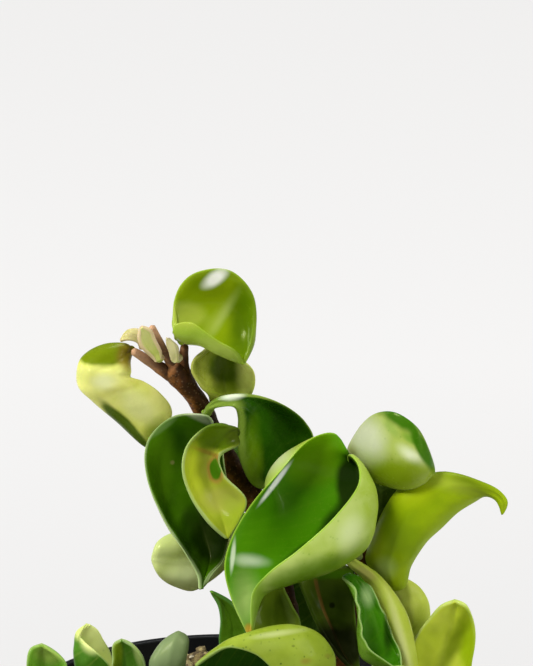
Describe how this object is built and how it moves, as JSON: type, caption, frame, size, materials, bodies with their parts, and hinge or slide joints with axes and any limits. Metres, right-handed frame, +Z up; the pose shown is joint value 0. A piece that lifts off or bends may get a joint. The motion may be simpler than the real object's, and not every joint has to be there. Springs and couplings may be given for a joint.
{
  "type": "potted hoya plant",
  "caption": "Potted rope hoya: thick folded and curled waxy leaves on brown stems, in a round black nursery pot of coarse bark mix.",
  "frame": {"origin": "centre of the pot's flat underside, on the surface that the pot stands on", "axes": "+Z up along the pot's axis; the pictured front of the plant faces -Y, with its low right-hand leaves towards +X"},
  "size_m": [0.123, 0.1166, 0.2062],
  "materials": {
    "pot_plastic": "satin moulded black polypropylene",
    "mix": "coarse crumbly bark with pale pumice grains",
    "stem_bark": "thin brown bark with small bumps",
    "leaf_deep": "waxy deep green upper side, paler underside, thin pale margin",
    "leaf_young": "waxy yellow-green young leaf",
    "leaf_pale": "waxy pale green underside with fine speckles"
  },
  "bodies": {
    "root": {"pot": "pot_plastic", "potting_mix": "mix", "stem_tall": "stem_bark", "stem_right": "stem_bark", "stem_left": "stem_bark", "stem_front": "stem_bark", "stem_back": "stem_bark", "leaf_crown_left": "leaf_young", "leaf_crown_top": "leaf_young", "leaf_crown_cup": "leaf_young", "leaf_bud_fold": "leaf_young", "leaf_bud_channel": "leaf_young", "leaf_bud_small": "leaf_young", "leaf_left_bowl": "leaf_deep", "leaf_left_inner": "leaf_pale", "leaf_left_under": "leaf_pale", "leaf_arch": "leaf_deep", "leaf_bowl": "leaf_deep", "leaf_upper_right": "leaf_pale", "leaf_horn": "leaf_pale", "leaf_right_small": "leaf_pale", "leaf_right_low": "leaf_pale", "leaf_front_right": "leaf_deep", "leaf_hood": "leaf_pale", "leaf_heart_dark": "leaf_deep", "leaf_heart_olive": "leaf_pale", "leaf_front_arch": "leaf_pale", "leaf_spike": "leaf_deep", "leaf_left_end": "leaf_deep", "leaf_left_curl": "leaf_pale", "leaf_left_mid": "leaf_deep", "leaf_left_pale": "leaf_pale", "leaf_back_top": "leaf_deep", "leaf_back_right": "leaf_deep", "leaf_back_left": "leaf_deep", "leaf_back_middle": "leaf_deep", "leaf_back_low_left": "leaf_deep", "leaf_back_low_right": "leaf_deep", "leaf_behind_upper": "leaf_deep", "leaf_behind_right": "leaf_deep", "leaf_side_low": "leaf_deep", "leaf_front_low": "leaf_deep", "leaf_front_low_left": "leaf_deep", "leaf_front_low_right": "leaf_deep"}
  },
  "joints": []
}
